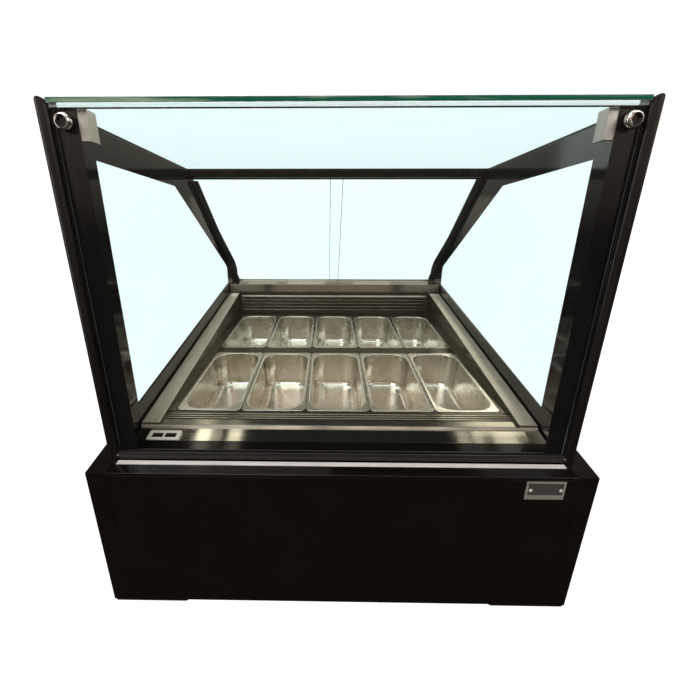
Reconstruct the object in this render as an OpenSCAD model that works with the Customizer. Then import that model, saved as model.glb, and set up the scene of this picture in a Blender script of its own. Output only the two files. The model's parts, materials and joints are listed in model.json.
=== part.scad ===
// Serve-over refrigerated display case for ten rectangular dessert pans.
// Millimetres, +Z up. The customer's side faces -Y. The origin is the middle of the
// footprint, on the floor. Profiles are written as [y, z] with y counted back from the
// front panel's face, and place() moves them to the origin.

/* [Base] */
// Width across the side panels
case_w = 1060; // [1050:5:1090]
// Depth from the front panel's face to the side panels' rear edge
case_d = 1190; // [1185:5:1195]
// Height of the base at its front edge
base_front_h = 360; // [355:1:365]
// Rise of the base's top towards the back, in degrees
deck_slope = 12; // [11.5:0.5:12.5]
// Thickness of each side panel
panel_t = 40; // [38:1:42]
// Height of the feet
foot_h = 6; // [5:1:8]
// Thickness of the painted sheet steel
skin_t = 2; // [1.5:0.5:2.5]

/* [Glass case] */
// Height of the top glass's upper face
glass_top_h = 1040; // [1035:1:1045]
// Thickness of the front, side and top glass
glass_t = 8; // [6:1:8]
// Distance from the middle to the inner face of a side glass
glass_half_w = 485; // [485:1:485]
// Rear edge of the top glass
top_glass_end = 660; // [659:1:661]
// Slope of the side glass's rear edge, in degrees
rear_edge_slope = 33; // [32.5:0.5:33.5]
// Slope of the sliding doors, in degrees
door_slope = 39; // [38.9:0.1:39.1]
// Length of a sliding door, measured down its slope
door_len = 648; // [646:1:649]
// Thickness of a sliding door
door_t = 5; // [4:0.5:5]
// How far each sliding door passes the middle
door_lap = 22; // [20:1:30]
// Width of the black printed border on the front glass
front_border = 38; // [36:1:44]

/* [Pans] */
// Pans in a row
pan_count = 5; // [5:1:5]
// Distance from one pan's middle to the next
pan_pitch = 168; // [168:1:170]
// Width of a pan across its rim
pan_w = 166; // [164:1:166]
// Length of a pan along its rim
pan_l = 362; // [360:1:362]
// Depth of a pan
pan_h = 120; // [100:5:120]
// Corner radius of a pan's bowl
pan_r = 46; // [35:1:50]
// Gap between the two rows
row_gap = 46; // [44:1:48]
// Slope of the pans' plane, in degrees
pan_slope = 6; // [5.5:0.5:6.5]
// Distance of the first row's rim from the front panel's face
pan_y0 = 205; // [204:1:206]
// Height of the pans' plane at the first row's front rim
pan_z0 = 398; // [397:1:399]

/* [Cooling] */
// Thickness of the foam round the tub
foam_t = 38; // [36:1:38]
// Depth of the tub's floor under the pans' plane
tub_drop = 185; // [180:1:190]
// Radius of an evaporator fan's rotor
evap_fan_r = 50; // [45:1:52]
// Radius of the condenser fan's rotor
cond_fan_r = 88; // [80:1:90]

/* [Hidden] */
$fn = 48;

half_w = case_w / 2;
inner_w = half_w - panel_t;              // inner face of a side panel
eps = 1;                                 // how far a cutter runs past a face

// Front glass and its hinge
glass_y = 38;                            // outer face of the front glass
glass_half = 476;                        // half width of the front glass
glass_foot = 380;                        // lower edge of the front glass
profile_top = glass_foot + 7;            // upper edge of the profile round it
seal_h = 5;
glass_head = glass_top_h - glass_t - seal_h - 0.5;
hinge_y = 40;
hinge_z = 376;
hinge_r = 6.5;
pin_r = 3;
sill_y0 = 23;
sill_y1 = 33;
bolt_x = 456;
bolt_z = 1006;
bolt_r = 4;

// Posts and side glass
post_x0 = 478;
post_x1 = 500;
post_y0 = 33;
post_slot_y = 46;
post_y1 = 60;
side_glass_rear = 1184;

// Deck
ledge_d = 94;
strip_front_y = 142;
strip_in = 440;
strip_out = 480;
strip_y0 = 147;
strip_y1 = 1008;
strip_lift = 4;                          // side strips above the base's top plane
sheet_t = 1.5;
rail_half = 480;
rail_y0 = 1012;
rail_y1 = 1144;                          // front of the rear rail's lower shelf
rail_z0 = 584;
rail_z1 = 618;
shelf_z = 597;
louvre_y = 1010;

// Tub
tub_y0 = 147;
tub_y1 = 1130;
tub_top_drop = 10;                       // tub's rim under the base's top plane

// Pans' plane, in its own tilted frame
row_s = [0, pan_l + row_gap];
bowl_inset_x = 9;
bowl_inset_y = 10;
rows_len = 2 * pan_l + row_gap;

// Doors' plane
door_y0 = 660;
door_z0 = 1014;
door_gap = 4;                            // between the two door planes
door_half = 483;

// Fans
fan_z = 420;
fan_x = 220;
fan_y = 1071;
cond_x = -290;
cond_z = 130;
cond_y = 1078;

// Heights of the sloping planes at a distance y from the front
function top_z(y) = base_front_h + y * tan(deck_slope);
function pan_z(y) = pan_z0 + (y - pan_y0) * tan(pan_slope);
function tub_z(y) = pan_z(y) - tub_drop;
function side_edge_z(y) = glass_top_h - glass_t
    - (y - top_glass_end + 5) * tan(rear_edge_slope);

// ---- helpers -------------------------------------------------------------------

// Moves the depth count to the origin in the middle of the footprint
module place() {
    translate([0, -case_d / 2, 0]) children();
}

// Extrudes a [y, z] profile along X from x0 to x1
module across(x0, x1) {
    translate([x0, 0, 0]) rotate([90, 0, 90]) linear_extrude(x1 - x0) children();
}

// Box from its low corner to its high corner
module block(lo, hi) {
    translate(lo) cube(hi - lo);
}

// Rounded rectangle with its low corner at the origin
module rounded_rect(w, l, r) {
    union() {
        translate([r, 0]) square([w - 2 * r, l]);
        translate([0, r]) square([w, l - 2 * r]);
        for (x = [r, w - r], y = [r, l - r]) translate([x, y]) circle(r);
    }
}

// Point of the pans' plane frame, at s up the slope and h along its normal
function pan_point(x, s, h) = [x, pan_y0 + s * cos(pan_slope) - h * sin(pan_slope),
    pan_z0 + s * sin(pan_slope) + h * cos(pan_slope)];

// Frame of the pans' plane: +Y runs up the slope, +Z is its normal
module on_pan_plane() {
    translate([0, pan_y0, pan_z0]) rotate([pan_slope, 0, 0]) children();
}

// Frame of the doors' plane: +Y runs down the slope, +Z points outwards
module on_door_plane() {
    translate([0, door_y0, door_z0]) rotate([-door_slope, 0, 0]) children();
}

// Everything above the base's sloping top
module above_base() {
    intersection() {
        children();
        across(-half_w, half_w)
            polygon([[0, top_z(0)], [case_d, top_z(case_d)], [case_d, 1200], [0, 1200]]);
    }
}

// Round pipe through the points, with a slightly larger ball joint at each corner
module pipe(points, r) {
    for (i = [1 : len(points) - 1]) {
        d = points[i] - points[i - 1];
        translate(points[i - 1]) rotate([0, acos(d.z / norm(d)), atan2(d.y, d.x)])
            cylinder(h = norm(d), r = r);
    }
    for (i = [1 : len(points) - 2]) translate(points[i]) sphere(r * 1.3);
}

// ---- base ----------------------------------------------------------------------

module base_floor() color("dimgray") place() difference() {
    block([-inner_w + 0.5, skin_t + 1, foot_h], [inner_w - 0.5, case_d - 6, foot_h + 24]);
    block([-inner_w + 0.5 + skin_t, 2 * skin_t + 1, foot_h + skin_t],
        [inner_w - 0.5 - skin_t, case_d - 6 - skin_t, foot_h + 25]);
    for (x = [-300 : 60 : 300]) block([x, 180, foot_h - eps], [x + 30, 190, foot_h + 5]);
}

foot_w = 174;
foot_l = 115;
module feet() color("black") place() {
    for (x = [1 - half_w, half_w - foot_w - 1], y = [1, case_d - foot_l - 1])
        translate([x, y, 0]) linear_extrude(foot_h) rounded_rect(foot_w, foot_l, 6);
}

module side_panel() difference() {
    across(inner_w, half_w) polygon([[0, foot_h], [case_d, foot_h],
        [case_d, top_z(case_d)], [0, top_z(0)]]);
    across(inner_w - eps, half_w - skin_t) polygon([[skin_t, foot_h + skin_t],
        [case_d - skin_t, foot_h + skin_t], [case_d - skin_t, top_z(case_d) - 2.5],
        [skin_t, top_z(0) - skin_t]]);
}

module side_panel_right() color("black") place() side_panel();

module side_panel_left() color("black") place() mirror([1, 0, 0]) side_panel();

module front_panel() color("black") place() difference() {
    block([-inner_w + 0.4, 0, foot_h], [inner_w - 0.4, 20, 354]);
    block([-inner_w + 0.4 + skin_t, skin_t, foot_h - eps],
        [inner_w - 0.4 - skin_t, 21, 354 - skin_t]);
    block([-inner_w, skin_t, foot_h - eps], [inner_w, 21, foot_h + 26]);
}

module front_ledge() color("black") place() across(-inner_w + 0.4, inner_w - 0.4)
    polygon([[0, 354], [0, top_z(0)], [ledge_d, top_z(ledge_d)], [ledge_d, 366],
        [21, 348], [20, 354]]);

rivet_x = [393, 455];
module nameplate() color("gray") place() {
    difference() {
        block([384, -2, 308], [464, 0, 351]);
        block([388, -3, 318], [460, -1.2, 347]);
    }
    for (x = rivet_x) translate([x, 0, 331]) rotate([90, 0, 0])
        cylinder(h = 3, r = 3.5, $fn = 24);
}

vent_z = [50 : 22 : 204];
module rear_panel() color("black") place() difference() {
    block([-inner_w + 0.5, case_d - 4, foot_h + 2], [inner_w - 0.5, case_d - 2, rail_z0 - 1]);
    for (x = [-400, -286, -172], z = vent_z)
        block([x, case_d - 5, z], [x + 100, case_d - 1, z + 9]);
    for (x = [20, 134], z = [50 : 22 : 94])
        block([x, case_d - 5, z], [x + 100, case_d - 1, z + 9]);
    block([250, case_d - 5, 96], [420, case_d - 1, 154]);
    block([-466, case_d - 5, 46], [-434, case_d - 1, 74]);
}

// ---- insulated tub -------------------------------------------------------------

// Side profile of the tub, grown by g at its ends and floor, with its rim at drop
module tub_profile(g, drop) {
    intersection() {
        polygon([[tub_y0 - g, tub_z(tub_y0) - g], [tub_y1 + g, tub_z(tub_y1) - g],
            [tub_y1 + g, top_z(tub_y1 + g) - drop], [tub_y0 - g, top_z(tub_y0 - g) - drop]]);
        translate([0, -1]) square([case_d, rail_z0 - 2 + 1]);
    }
}

module drain_hole(r) {
    translate([0, 300, tub_z(300) - foam_t - 20]) cylinder(h = foam_t + 40, r = r);
}

module tub_liner() color("silver") place() {
    difference() {
        across(-strip_in - sheet_t, strip_in + sheet_t) tub_profile(sheet_t, tub_top_drop);
        across(-strip_in, strip_in) tub_profile(0, tub_top_drop - 5);
        drain_hole(14);
        pipe_holes(7);
    }
    difference() {
        translate([0, 300, tub_z(300) - foam_t - 15]) cylinder(h = foam_t + 14.5, r = 16);
        translate([0, 300, tub_z(300) - foam_t - 16]) cylinder(h = foam_t + 20, r = 14);
        across(-50, 50) polygon([[200, tub_z(200)], [400, tub_z(400)], [400, 400],
            [200, 400]]);
    }
}

module tub_insulation() color("khaki") place() difference() {
    across(-strip_in - sheet_t - foam_t, strip_in + sheet_t + foam_t)
        tub_profile(foam_t + sheet_t, 8);
    across(-strip_in - sheet_t, strip_in + sheet_t) tub_profile(sheet_t, -20);
    drain_hole(16);
    pipe_holes(7);
    block([-500, 0, rail_z0 - 2.5], [500, case_d, 700]);
}

// ---- steel deck ----------------------------------------------------------------

lip_y = strip_front_y + sheet_t;
module front_deck_strip() color("silver") place() across(-strip_out, strip_out)
    polygon([[ledge_d, top_z(ledge_d) - 5], [strip_front_y, top_z(strip_front_y) - 5],
        [strip_front_y, top_z(strip_front_y) + 1], [lip_y, top_z(lip_y) + 1],
        [lip_y, top_z(lip_y) - 7.5], [ledge_d, top_z(ledge_d) - 7.5]]);

module thermometer() color("white") place()
    translate([-447, 96, top_z(96) - 5]) rotate([deck_slope, 0, 0]) difference() {
        linear_extrude(6) rounded_rect(75, 30, 3);
        for (x = [9, 39.5]) translate([x, 8, 4.5]) cube([26.5, 14, 3]);
    }

// Top flange, well wall and pan shelf of one side, folded from one sheet
module side_strip() {
    across(strip_in - sheet_t, strip_out) polygon([
        [strip_y0, top_z(strip_y0) + strip_lift - sheet_t],
        [strip_y1, top_z(strip_y1) + strip_lift - sheet_t],
        [strip_y1, top_z(strip_y1) + strip_lift], [strip_y0, top_z(strip_y0) + strip_lift]]);
    across(strip_out - sheet_t, strip_out) polygon([
        [strip_y0, top_z(strip_y0) - 7.5], [strip_y1, top_z(strip_y1) - 7.5],
        [strip_y1, top_z(strip_y1) + strip_lift], [strip_y0, top_z(strip_y0) + strip_lift]]);
    across(strip_in - sheet_t, strip_in) polygon([
        [strip_y0, pan_z(strip_y0) - 12], [strip_y1, pan_z(strip_y1) - 12],
        [strip_y1, top_z(strip_y1) + strip_lift], [strip_y0, top_z(strip_y0) + strip_lift]]);
    on_pan_plane() block([421.5, 0, -sheet_t], [strip_in - 0.5, 800, 0]);
}

module side_strip_right() color("silver") place() side_strip();

module side_strip_left() color("silver") place() mirror([1, 0, 0]) side_strip();

// Folded cover over the tub's rear end, with a lower shelf at the back for the doors' track
module rear_rail() color("silver") place() difference() {
    across(-rail_half, rail_half) polygon([[rail_y0, rail_z0], [rail_y0, rail_z1],
        [rail_y1, rail_z1], [rail_y1, shelf_z], [case_d, shelf_z], [case_d, rail_z0]]);
    across(sheet_t - rail_half, rail_half - sheet_t) polygon([
        [rail_y0 + sheet_t, rail_z0 - eps], [rail_y0 + sheet_t, rail_z1 - sheet_t],
        [rail_y1 - sheet_t, rail_z1 - sheet_t], [rail_y1 - sheet_t, shelf_z - sheet_t],
        [case_d - sheet_t, shelf_z - sheet_t], [case_d - sheet_t, rail_z0 - eps]]);
}

well_half = strip_in - sheet_t - 0.3;

// Return-air grille: one broad slat and three ribs, joined by end plates
slat_y = [173, 181, 189];
louvre_y0 = tub_y0 + 0.3;
louvre_y1 = 194.3;
module front_louvre() color("silver") place() {
    across(-well_half, well_half) {
        polygon([[151, top_z(151) - 4], [170, top_z(170) - 4], [170, top_z(170) - 9],
            [168.5, top_z(168.5) - 9], [168.5, top_z(168.5) - 5.5], [151, top_z(151) - 5.5]]);
        for (y = slat_y) polygon([[y, top_z(y) - 3], [y + 4.5, top_z(y) - 3],
            [y + 4.5, top_z(y) - 4.5], [y + 1.5, top_z(y) - 4.5], [y + 1.5, top_z(y) - 12],
            [y, top_z(y) - 12]]);
    }
    for (x = [-well_half, -1, well_half - 2]) across(x, x + 2)
        polygon([[louvre_y0, top_z(louvre_y0) - 14], [louvre_y1, top_z(louvre_y1) - 14],
            [louvre_y1, top_z(louvre_y1) - 5.5], [louvre_y0, top_z(louvre_y0) - 5.5]]);
}

louvre_z = [497 : 15 : 557];
module rear_louvre() color("silver") place() {
    difference() {
        block([-well_half, louvre_y, fan_z + 2], [well_half, louvre_y + sheet_t, rail_z0]);
        for (z = louvre_z)
            block([-424, louvre_y - eps, z], [424, louvre_y + 3, z + 9]);
    }
    for (z = louvre_z) across(-426, 426) polygon([[louvre_y, z + 9], [louvre_y, z + 11],
        [louvre_y - 7, z + 6], [louvre_y - 7, z + 4]]);
    block([-well_half, louvre_y, rail_z0 - sheet_t], [well_half, rail_y0, rail_z0]);
}

// One cross bar from s0 to s1 up the pans' slope, notched over the side shelves
module pan_bar(s0, s1) {
    block([-421, s0, -14], [421, s1, 0]);
    block([-well_half, s0, -14], [well_half, s1, -sheet_t]);
}

module pan_bars() color("silver") place() on_pan_plane() {
    pan_bar(-9.8, bowl_inset_y - 2);
    pan_bar(row_s[1] - row_gap - 8, row_s[1] + 8);
    pan_bar(rows_len - 8, rows_len + 30);
}

// ---- pans ----------------------------------------------------------------------

module pan(row, i) color("gainsboro") place() on_pan_plane()
    translate([(i - (pan_count - 1) / 2) * pan_pitch - pan_w / 2, row_s[row], 0])
        difference() {
            union() {
                linear_extrude(1.5) rounded_rect(pan_w, pan_l, 14);
                translate([bowl_inset_x, bowl_inset_y, -pan_h]) linear_extrude(pan_h)
                    rounded_rect(pan_w - 2 * bowl_inset_x, pan_l - 2 * bowl_inset_y, pan_r);
            }
            translate([bowl_inset_x + 1, bowl_inset_y + 1, 1 - pan_h])
                linear_extrude(pan_h + 5)
                    rounded_rect(pan_w - 2 * bowl_inset_x - 2,
                        pan_l - 2 * bowl_inset_y - 2, pan_r - 1);
        }

// ---- glass case ----------------------------------------------------------------

module post() above_base() {
    difference() {
        intersection() {
            translate([0, 0, 350]) linear_extrude(700) {
                translate([(post_x0 + post_x1) / 2, post_y0 + 11]) circle(11);
                translate([post_x0, post_y0 + 11]) square([22, post_y1 - post_y0 - 11]);
            }
            translate([0, post_y1 + eps, 0]) rotate([90, 0, 0]) linear_extrude(60) {
                translate([489, 1030]) circle(11);
                translate([post_x0, 300]) square([22, 730]);
            }
        }
        block([glass_half_w, post_slot_y, 300],
            [glass_half_w + glass_t, post_y1 + 2, 1032.2]);
        translate([post_x0 - eps, hinge_y, hinge_z]) rotate([0, 90, 0])
            cylinder(h = 9, r = pin_r);
    }
}

module post_right() color("black") place() post();

module post_left() color("black") place() mirror([1, 0, 0]) post();

// [y, z] outline of a side glass, from its front edge round to its rear edge
side_outline = [[post_slot_y, top_z(post_slot_y)], [post_slot_y, glass_top_h - glass_t],
    [top_glass_end - 5, glass_top_h - glass_t],
    [1150, side_edge_z(1150)], [side_glass_rear, side_edge_z(1150) - 40],
    [side_glass_rear, top_z(side_glass_rear)]];

// [y, z] outline of its clear window inside the print
window_outline = [[155, top_z(155) + 46], [155, 971], [524, 971], [996, 703],
    [1004, 690], [1004, top_z(1004) + 38]];

module side_glass() across(glass_half_w, glass_half_w + glass_t) polygon(side_outline);

module side_glass_right() color("lightcyan") place() side_glass();

module side_glass_left() color("lightcyan") place() mirror([1, 0, 0]) side_glass();

module side_print() across(glass_half_w - 0.3, glass_half_w) difference() {
    intersection() {
        polygon(side_outline);
        translate([post_y1, 300]) square([side_glass_rear - post_y1 - 1, 731]);
    }
    polygon(window_outline);
}

module side_glass_print() color("black") place() {
    side_print();
    mirror([1, 0, 0]) side_print();
}

module top_glass() color("lightcyan") place()
    translate([0, 0, glass_top_h - glass_t]) linear_extrude(glass_t) union() {
        translate([-477.5, 34]) square([955, 30]);
        translate([-493, post_y1 + 0.5]) square([986, top_glass_end - post_y1 - 0.5]);
    }

module top_seal() color("white") place()
    block([-glass_half, glass_y, glass_head + 0.5],
        [glass_half, glass_y + glass_t, glass_top_h - glass_t]);

module bracket() difference() {
    block([422, 47, 980], [post_x0, 72, 1027]);
    translate([bolt_x, 46, bolt_z]) rotate([-90, 0, 0]) cylinder(h = 20, r = bolt_r + 1);
    block([426, 55, 976], [474, 73, 1020]);
}

module glass_brackets() color("silver") place() {
    bracket();
    mirror([1, 0, 0]) bracket();
}

module front_glass() color("lightcyan") place() difference() {
    block([-glass_half, glass_y, glass_foot], [glass_half, glass_y + glass_t, glass_head]);
    for (x = [-bolt_x, bolt_x]) translate([x, glass_y - eps, bolt_z]) rotate([-90, 0, 0])
        cylinder(h = glass_t + 2, r = 6);
}

module front_glass_print() color("black") place() difference() {
    union() for (x = [-glass_half, glass_half - front_border])
        block([x, glass_y + glass_t, profile_top + 0.5],
            [x + front_border, glass_y + glass_t + 0.3, glass_head]);
    for (x = [-bolt_x, bolt_x]) translate([x, glass_y, bolt_z]) rotate([-90, 0, 0])
        cylinder(h = glass_t + 2, r = 6);
}

module front_glass_profile() color("silver") place() difference() {
    across(-glass_half, glass_half) union() {
        translate([hinge_y, hinge_z]) circle(hinge_r);
        translate([glass_y - 3, profile_top - 14]) square([glass_t + 6, 14]);
    }
    block([-glass_half - eps, glass_y, glass_foot],
        [glass_half + eps, glass_y + glass_t, glass_foot + 10]);
    for (x = [-glass_half - eps, glass_half - 12]) translate([x, hinge_y, hinge_z])
        rotate([0, 90, 0]) cylinder(h = 13, r = pin_r + 0.1);
}

// Sill trim on the ledge in front of the glass, and the pins that carry the glass
module hinge_sill() color("silver") place() {
    across(-glass_half, glass_half) polygon([[sill_y0, top_z(sill_y0)],
        [sill_y1, top_z(sill_y1)], [sill_y1, top_z(sill_y1) + 1.5],
        [sill_y0, top_z(sill_y0) + 1.5]]);
    for (x = [-486, 466]) translate([x, hinge_y, hinge_z]) rotate([0, 90, 0])
        cylinder(h = 20, r = pin_r);
}

module bolt() rotate([90, 0, 0]) difference() {
    union() {
        rotate_extrude() polygon([[0, 0], [14, 0], [14, 4], [12, 7], [9.5, 8], [0, 8]]);
        translate([0, 0, -24]) cylinder(h = 25, r = bolt_r);
    }
    translate([0, 0, 4]) cylinder(h = 5, r = 8, $fn = 6);
}

module glass_bolts() color("gainsboro") place()
    for (x = [-bolt_x, bolt_x]) translate([x, glass_y, bolt_z]) bolt();

// ---- rear doors ----------------------------------------------------------------

door_planes = [0, door_t + door_gap];    // height of each door's inner face
door_slack = 0.4;

// Grooves for both doors, from s0 to s1 down the slope
module door_grooves(s0, s1) {
    for (h = door_planes) translate([s0, h - door_slack])
        square([s1 - s0, door_t + 2 * door_slack]);
}

// 2-D frame of the doors' plane inside a [y, z] profile
module door_profile_frame() {
    translate([door_y0, door_z0]) rotate(-door_slope) children();
}

beam_y = 648;
beam_z = 1012;
track_foot_y = 1158;                     // where the lower track stands on the shelf
module rear_top_rail() color("black") place() difference() {
    across(-484, 484) difference() {
        union() {
            translate([beam_y, beam_z]) square([14, glass_top_h - glass_t - beam_z]);
            door_profile_frame() translate([-4, -3.5]) square([10, 20]);
        }
        door_profile_frame() door_grooves(-1, 10);
        translate([beam_y + 2, beam_z - eps]) square([6, 3]);
    }
}

module led_bar() color("white") place()
    block([-470, beam_y + 2, beam_z], [470, beam_y + 8, beam_z + 2]);

module door_bottom_track() color("silver") place() across(-rail_half, rail_half) difference() {
    union() {
        door_profile_frame() translate([door_len - 8, -3.5]) square([14, 21]);
        translate([track_foot_y, shelf_z]) square([20, 12]);
    }
    door_profile_frame() door_grooves(door_len - 9, door_len + 0.5);
}

module door(x0, x1, h) color("lightcyan") place() on_door_plane()
    block([x0, 0, h], [x1, door_len, h + door_t]);

module door_left() door(grip_web - door_half, door_lap, door_planes[0]);

module door_right() door(-door_lap, door_half - grip_web, door_planes[1]);

// Channel along a door's outer edge, with its web outwards, on the left when side is -1
grip_web = 1.5;
module door_grip(side, h) color("dimgray") place() on_door_plane() difference() {
    across_door(side * (door_half - 8), 8, h - 1.8, h + door_t + 1.8, 20);
    across_door(side * (door_half - grip_web - 8), 8, h, h + door_t, 18);
}

// Block centred on x in the doors' plane frame, w to each side, clear of the ends by s
module across_door(x, w, h0, h1, s) {
    block([x - w, s, h0], [x + w, door_len - s, h1]);
}

module door_grip_left() door_grip(-1, door_planes[0]);

module door_grip_right() door_grip(1, door_planes[1]);

// ---- cooling -------------------------------------------------------------------

pipe_xy = [[404, 1085], [404, 1110]];
module pipe_holes(r) {
    for (p = pipe_xy) translate([p.x, p.y, 200]) cylinder(h = 160, r = r);
}

coil_s0 = 420;
coil_s1 = 700;
coil_tube_s = [for (i = [0 : 4]) coil_s0 + 35 + 52 * i];
coil_tube_z = [14, 36];
coil_h = -tub_drop * cos(pan_slope);     // the tub's floor in the pans' plane frame
module evaporator_coil() color("lightgray") place() on_pan_plane()
    translate([0, 0, coil_h]) {
        for (x = [-380 : 40 : 380]) block([x - 0.75, coil_s0, 0], [x + 0.75, coil_s1, 50]);
        for (s = coil_tube_s, z = coil_tube_z) translate([-388, s, z])
            rotate([0, 90, 0]) cylinder(h = 776, r = 5);
    }

// Axial rotor standing on z = 0, with a stub shaft below it
module axial_rotor(r, hub, h, shaft) {
    cylinder(h = h, r = hub);
    translate([0, 0, -12]) cylinder(h = 12.5, r = shaft);
    intersection() {
        cylinder(h = h, r = r);
        for (a = [0 : 72 : 300]) rotate([0, 0, a]) translate([hub - 3, 0, h / 2])
            rotate([35, 0, 0]) translate([0, -h * 0.7, -1]) cube([r, h * 1.4, 2]);
    }
}

// Plate's hole ring, motor and its three struts, with the motor's top at z = -0.5
module fan_mount(r, hub, shaft, ring_h) {
    difference() {
        translate([0, 0, -0.5]) cylinder(h = ring_h, r = r + 6);
        translate([0, 0, -3]) cylinder(h = ring_h + 6, r = r + 3);
    }
    difference() {
        translate([0, 0, -16.5]) cylinder(h = 16, r = hub);
        translate([0, 0, -14]) cylinder(h = 15, r = shaft + 0.1);
    }
    for (a = [90, 210, 330]) rotate([0, 0, a]) {
        translate([hub - 1, -2, -8]) cube([r + 6 - hub, 4, 5.5]);
        translate([r + 3.2, -2, -8]) cube([2.6, 4, 9]);
    }
}

module at_evap_fan(x) {
    translate([x, fan_y, fan_z + 2.5]) children();
}

module fan_plate() color("silver") place() {
    difference() {
        block([-well_half, louvre_y + sheet_t, fan_z], [well_half, tub_y1, fan_z + 2]);
        for (x = [-fan_x, fan_x]) translate([x, fan_y, fan_z - 4])
            cylinder(h = 10, r = evap_fan_r + 3);
        for (p = pipe_xy) translate([p.x, p.y, fan_z - 4]) cylinder(h = 10, r = 7);
    }
    for (x = [-fan_x, fan_x]) at_evap_fan(x) fan_mount(evap_fan_r, 21, 3, 24);
}

module evaporator_fan_left() color("black") place() at_evap_fan(-fan_x)
    axial_rotor(evap_fan_r, 21, 22, 3);

module evaporator_fan_right() color("black") place() at_evap_fan(fan_x)
    axial_rotor(evap_fan_r, 21, 22, 3);

comp_x = 250;
comp_y = 1000;
comp_r = 75;
module compressor() color("black") place() translate([comp_x, comp_y, foot_h + skin_t]) {
    for (x = [-80, 80], y = [-55, 55]) translate([x, y, 0]) cylinder(h = 12, r = 12);
    translate([-95, -70, 12]) linear_extrude(4) rounded_rect(190, 140, 12);
    translate([0, 0, 16]) rotate_extrude() polygon([[0, 0], [comp_r - 12, 0],
        [comp_r, 14], [comp_r, 112], [comp_r - 8, 132], [comp_r - 28, 146], [0, 150]]);
    block([-30, -comp_r - 14, 50], [30, -comp_r + 8, 100]);
    translate([0, 20, 150]) cylinder(h = 26, r = 7);
    translate([comp_r - 5, 0, 48]) rotate([0, 90, 0]) cylinder(h = 20, r = 7);
}

module condenser_coil() color("lightgray") place() {
    for (x = [cond_x - 108 : 12 : cond_x + 108])
        block([x - 0.5, 1128, 32], [x + 0.5, 1170, 228]);
    for (z = [50 : 32 : 210], y = [1139, 1159]) translate([cond_x - 113, y, z])
        rotate([0, 90, 0]) cylinder(h = 226, r = 5);
    block([cond_x - 108, 1128, foot_h + skin_t], [cond_x + 108, 1170, 32]);
}

module at_cond_fan() {
    translate([cond_x, cond_y, cond_z]) rotate([-90, 0, 0]) children();
}

module condenser_cowl() color("dimgray") place() {
    difference() {
        block([cond_x - 110, 1076, foot_h + skin_t], [cond_x + 110, 1127.5, 232]);
        block([cond_x - 108, 1079, foot_h + 4], [cond_x + 108, 1129, 230]);
        at_cond_fan() translate([0, 0, -8]) cylinder(h = 30, r = cond_fan_r + 3);
    }
    at_cond_fan() fan_mount(cond_fan_r, 28, 4, 26);
}

module condenser_fan() color("black") place() at_cond_fan()
    axial_rotor(cond_fan_r, 28, 30, 4);

// Discharge, liquid and suction lines between the compressor and the two coils
module refrigerant_pipes() color("peru") place() {
    r = 4;
    top = foot_h + skin_t + 176;
    side = foot_h + skin_t + 48;
    tube_x = cond_x + 113;
    riser_0 = pipe_xy[0];
    riser_1 = pipe_xy[1];
    cold_low = pan_point(388, coil_tube_s[4], coil_tube_z[0] + coil_h);
    cold_high = pan_point(388, coil_tube_s[4], coil_tube_z[1] + coil_h);
    pipe([[comp_x, comp_y + 20, top], [comp_x, comp_y + 20, 225], [-165, comp_y + 20, 225],
        [-165, 1139, 225], [-165, 1139, 210], [tube_x, 1139, 210]], r);
    pipe([[tube_x, 1139, 50], [riser_1.x, 1139, 50], [riser_1.x, riser_1.y, 50],
        [riser_1.x, riser_1.y, 345], [riser_1.x, cold_high.y, cold_high.z], cold_high], r);
    pipe([cold_low, [riser_0.x, cold_low.y, cold_low.z], [riser_0.x, riser_0.y, 325],
        [riser_0.x, riser_0.y, 150], [riser_0.x, comp_y, 150], [riser_0.x, comp_y, side],
        [comp_x + comp_r + 15, comp_y, side]], r);
}

// ---- rear services -------------------------------------------------------------

switch_pos = [396, case_d - 3, 125];
module control_panel() color("dimgray") place() difference() {
    union() {
        block([240, case_d - 2, 86], [430, case_d + 2.5, 164]);
        block([252, case_d - 42, 98], [418, case_d - 2, 152]);
    }
    block([264, case_d + 1.5, 104], [350, case_d + 3, 146]);
    block([switch_pos.x - 10.5, switch_pos.y - 13, 111],
        [switch_pos.x + 10.5, case_d + 3, 139]);
    translate(switch_pos - [14, 0, 0]) rotate([0, 90, 0]) cylinder(h = 28, r = 1.6);
}

module light_switch() color("black") place() translate(switch_pos) {
    across(-9.5, 9.5) polygon([[-6, -4], [-6, 4], [-1, 13], [5, 12], [2.5, 0],
        [1.5, -12], [-2, -13]]);
    rotate([0, 90, 0]) cylinder(h = 25, r = 1.5, center = true);
}

module power_inlet() color("black") place() {
    difference() {
        union() {
            block([-474, case_d - 2, 42], [-426, case_d + 1, 78]);
            block([-465, case_d - 28, 47], [-435, case_d - 2, 73]);
        }
        block([-462, case_d - 23, 50], [-438, case_d + 2, 70]);
    }
    for (x = [-457, -451, -445]) block([x, case_d - 24, 63], [x + 2, case_d - 6, 67]);
}

// ---- drawing -------------------------------------------------------------------

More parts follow.
